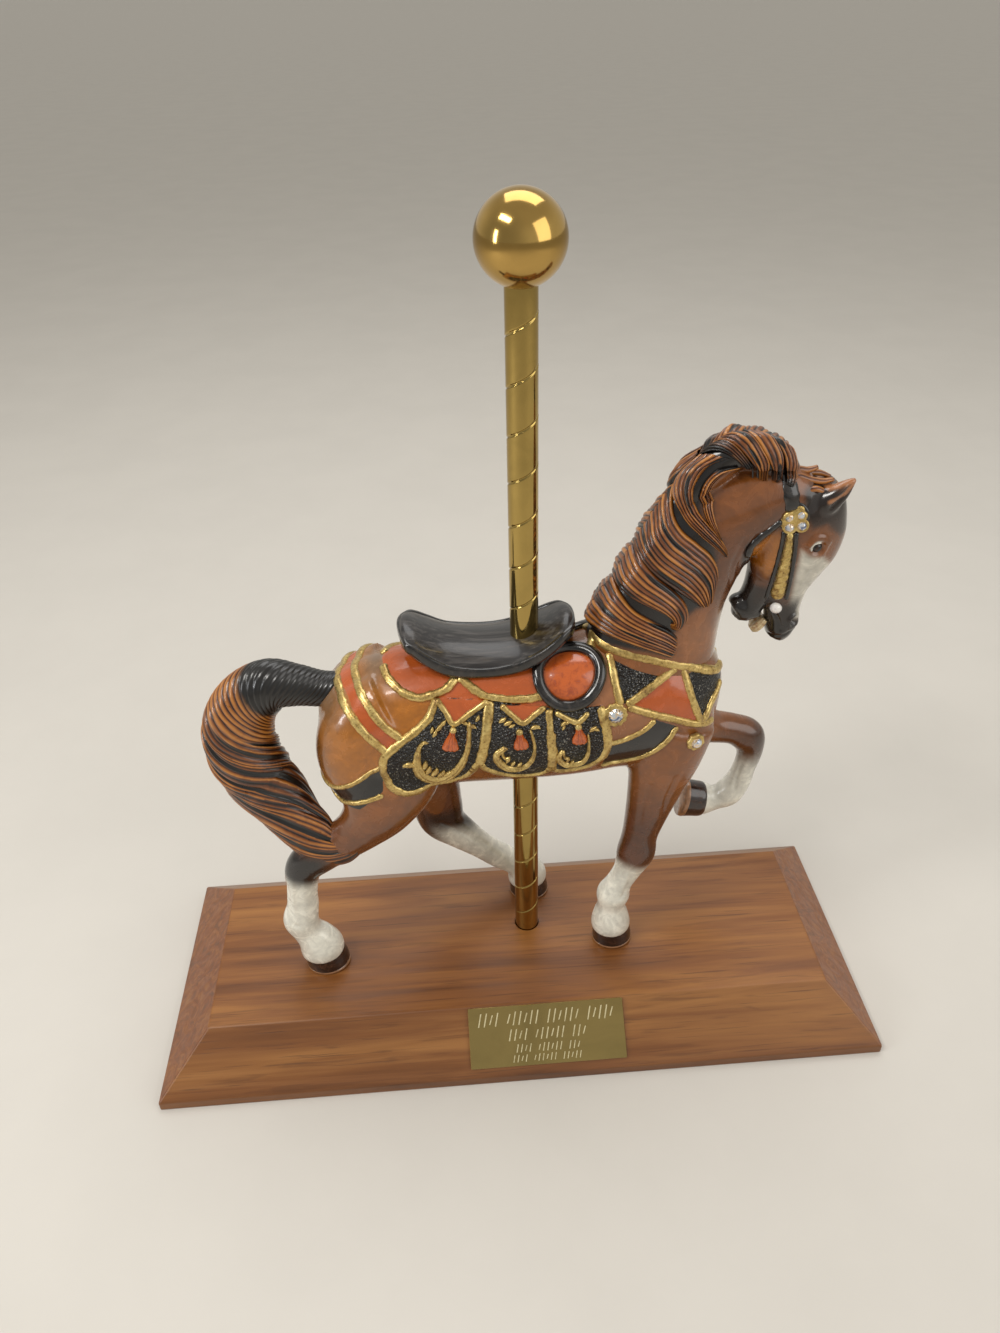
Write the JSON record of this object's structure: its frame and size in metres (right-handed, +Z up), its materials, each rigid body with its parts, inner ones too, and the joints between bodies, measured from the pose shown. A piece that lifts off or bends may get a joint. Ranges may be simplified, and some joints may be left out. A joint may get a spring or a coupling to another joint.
{
  "type": "carousel horse ornament",
  "caption": "Cast resin carousel horse in painted trappings, stepping on a polished brass pole with a ball, on a bevelled walnut board with an engraved brass plate.",
  "frame": {"origin": "centre of the board's underside", "axes": "+X towards the horse's head along the board, +Y across to the plain side, +Z up the pole"},
  "size_m": [0.2794, 0.108, 0.3052],
  "materials": {
    "walnut": "oiled satin, grain along the length",
    "polished_brass": "polished",
    "engraved_brass": "brushed and engraved",
    "painted_casting": "hand painted under clear gloss",
    "rhinestone": "cut and foil backed",
    "pearl": "pearl lustre"
  },
  "bodies": {
    "root": {"board": "walnut", "pole": "polished_brass", "ball": "polished_brass", "nameplate": "engraved_brass", "horse": "painted_casting", "large_stone": "rhinestone", "chest_stone": "rhinestone", "rosette_stone_1": "rhinestone", "rosette_stone_2": "rhinestone", "rosette_stone_3": "rhinestone", "rosette_stone_4": "rhinestone", "bit_pearl": "pearl"}
  },
  "joints": []
}
